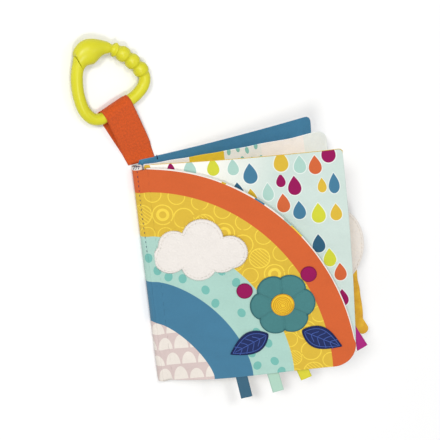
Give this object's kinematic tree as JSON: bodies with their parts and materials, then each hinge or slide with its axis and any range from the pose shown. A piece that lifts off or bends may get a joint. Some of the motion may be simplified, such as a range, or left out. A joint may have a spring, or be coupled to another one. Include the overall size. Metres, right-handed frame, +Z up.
{
  "type": "crinkle cloth book",
  "caption": "Soft cloth activity book with padded crinkle leaves fanned from a rolled spine, a quarter-round rainbow cover, lift flaps, ribbon tags and a link ring on a strap.",
  "frame": {"origin": "middle of the back cover's underside, on the table", "axes": "+X from the spine to the fore edge, +Y from the foot to the head, +Z up from the table"},
  "size_m": [0.2411, 0.3249, 0.0828],
  "materials": {
    "rainbow_cloth": "printed plush cloth in rainbow bands",
    "drops_print": "printed cotton, coloured drops",
    "white_print": "printed cotton, pale patches",
    "lining_print": "printed cotton lining",
    "yellow_cloth": "plain woven cotton",
    "blue_cloth": "plain woven cotton",
    "fleece": "napped fleece",
    "teal_cloth": "brushed cloth",
    "navy_cloth": "embroidered cloth",
    "magenta_cloth": "brushed cloth",
    "yellow_satin": "satin",
    "blue_ribbon": "satin ribbon",
    "mint_ribbon": "satin ribbon",
    "lime_ribbon": "satin ribbon",
    "magenta_ribbon": "satin ribbon",
    "orange_twill": "twill ribbon",
    "lime_plastic": "moulded gloss",
    "crinkle_film": "thin crackling film",
    "wadding": "polyester wadding"
  },
  "bodies": {
    "back_cover": {"back_cover_face_cloth": "blue_cloth", "back_cover_crinkle_film": "crinkle_film", "back_cover_wadding": "wadding", "back_cover_back_cloth": "rainbow_cloth", "spine_cloth": "rainbow_cloth", "bound_edge_back_cover": "blue_cloth", "bound_edge_leaf_two": "white_print", "bound_edge_leaf_one": "drops_print", "bound_edge_front_cover": "lining_print"},
    "leaf_two": {"leaf_two_face_cloth": "white_print", "leaf_two_crinkle_film": "crinkle_film", "leaf_two_wadding": "wadding", "leaf_two_back_cloth": "lining_print"},
    "leaf_one": {"leaf_one_face_cloth": "drops_print", "leaf_one_crinkle_film": "crinkle_film", "leaf_one_wadding": "wadding", "leaf_one_back_cloth": "yellow_cloth"},
    "front_cover": {"front_cover_face_cloth": "rainbow_cloth", "front_cover_crinkle_film": "crinkle_film", "front_cover_wadding": "wadding", "front_cover_back_cloth": "lining_print", "cloud_fleece": "fleece", "flower_petals": "teal_cloth", "flower_centre": "yellow_cloth", "flower_bud_left": "magenta_cloth", "flower_bud_right": "magenta_cloth"},
    "leaf_flap_left": {"leaf_flap_left": "navy_cloth"},
    "leaf_flap_right": {"leaf_flap_right": "navy_cloth"},
    "fleece_flap": {"fleece_flap": "fleece"},
    "satin_flap": {"satin_flap": "yellow_satin"},
    "ribbon_tag_blue": {"ribbon_tag_blue": "blue_ribbon"},
    "ribbon_tag_mint": {"ribbon_tag_mint": "mint_ribbon"},
    "ribbon_tag_lime": {"ribbon_tag_lime": "lime_ribbon"},
    "ribbon_tag_magenta": {"ribbon_tag_magenta": "magenta_ribbon"},
    "strap": {"strap_loop": "orange_twill"},
    "link_ring": {"link_ring": "lime_plastic"}
  },
  "joints": [
    {"name": "leaf_two_turn", "type": "hinge", "parent": "back_cover", "child": "leaf_two", "pos_m": [-0.0812, 0, 0.0048], "axis": [0, -1, 0], "range_deg": [-6.3, 78]},
    {"name": "leaf_one_turn", "type": "hinge", "parent": "leaf_two", "child": "leaf_one", "pos_m": [-0.0812, 0, 0.0048], "axis": [0, -1, 0], "range_deg": [-12.9, 72]},
    {"name": "front_cover_turn", "type": "hinge", "parent": "leaf_one", "child": "front_cover", "pos_m": [-0.0812, 0, 0.0048], "axis": [0, -1, 0], "range_deg": [-0.4, 84]},
    {"name": "strap_swing", "type": "hinge", "parent": "back_cover", "child": "strap", "pos_m": [-0.07523, 0.09963, 0.00075], "axis": [0.9994, 0.0349, 0], "range_deg": [-60, 75]},
    {"name": "ring_swing", "type": "hinge", "parent": "strap", "child": "link_ring", "pos_m": [-0.0898, 0.146, 0.00575], "axis": [-0.9272, -0.3746, 0], "range_deg": [-115, 60]},
    {"name": "leaf_flap_left_lift", "type": "hinge", "parent": "front_cover", "child": "leaf_flap_left", "pos_m": [-0.00058, -0.06058, 0.05032], "axis": [-0.3762, 0.9063, -0.1925], "range_deg": [0, 95]},
    {"name": "leaf_flap_right_lift", "type": "hinge", "parent": "front_cover", "child": "leaf_flap_right", "pos_m": [0.02561, -0.06058, 0.06367], "axis": [-0.4179, -0.8829, -0.2139], "range_deg": [0, 95]},
    {"name": "fleece_flap_bend", "type": "hinge", "parent": "leaf_two", "child": "fleece_flap", "pos_m": [0.08381, -0.009, 0.02842], "axis": [0, -1, 0], "range_deg": [-40, 40]},
    {"name": "satin_flap_bend", "type": "hinge", "parent": "leaf_two", "child": "satin_flap", "pos_m": [0.08462, -0.066, 0.02855], "axis": [0, -1, 0], "range_deg": [-45, 45]},
    {"name": "ribbon_tag_blue_bend", "type": "hinge", "parent": "leaf_one", "child": "ribbon_tag_blue", "pos_m": [-0.02082, -0.09633, 0.03194], "axis": [-0.9119, 0.0209, -0.4098], "range_deg": [-45, 45]},
    {"name": "ribbon_tag_mint_bend", "type": "hinge", "parent": "leaf_one", "child": "ribbon_tag_mint", "pos_m": [0.00381, -0.09702, 0.04301], "axis": [-0.9117, 0.0302, -0.4097], "range_deg": [-45, 45]},
    {"name": "ribbon_tag_lime_bend", "type": "hinge", "parent": "leaf_one", "child": "ribbon_tag_lime", "pos_m": [0.02707, -0.09791, 0.05346], "axis": [-0.9114, 0.0389, -0.4096], "range_deg": [-45, 45]},
    {"name": "ribbon_tag_magenta_bend", "type": "hinge", "parent": "leaf_one", "child": "ribbon_tag_magenta", "pos_m": [0.07251, -0.075, 0.07388], "axis": [0, -1, 0], "range_deg": [-45, 45]}
  ]
}
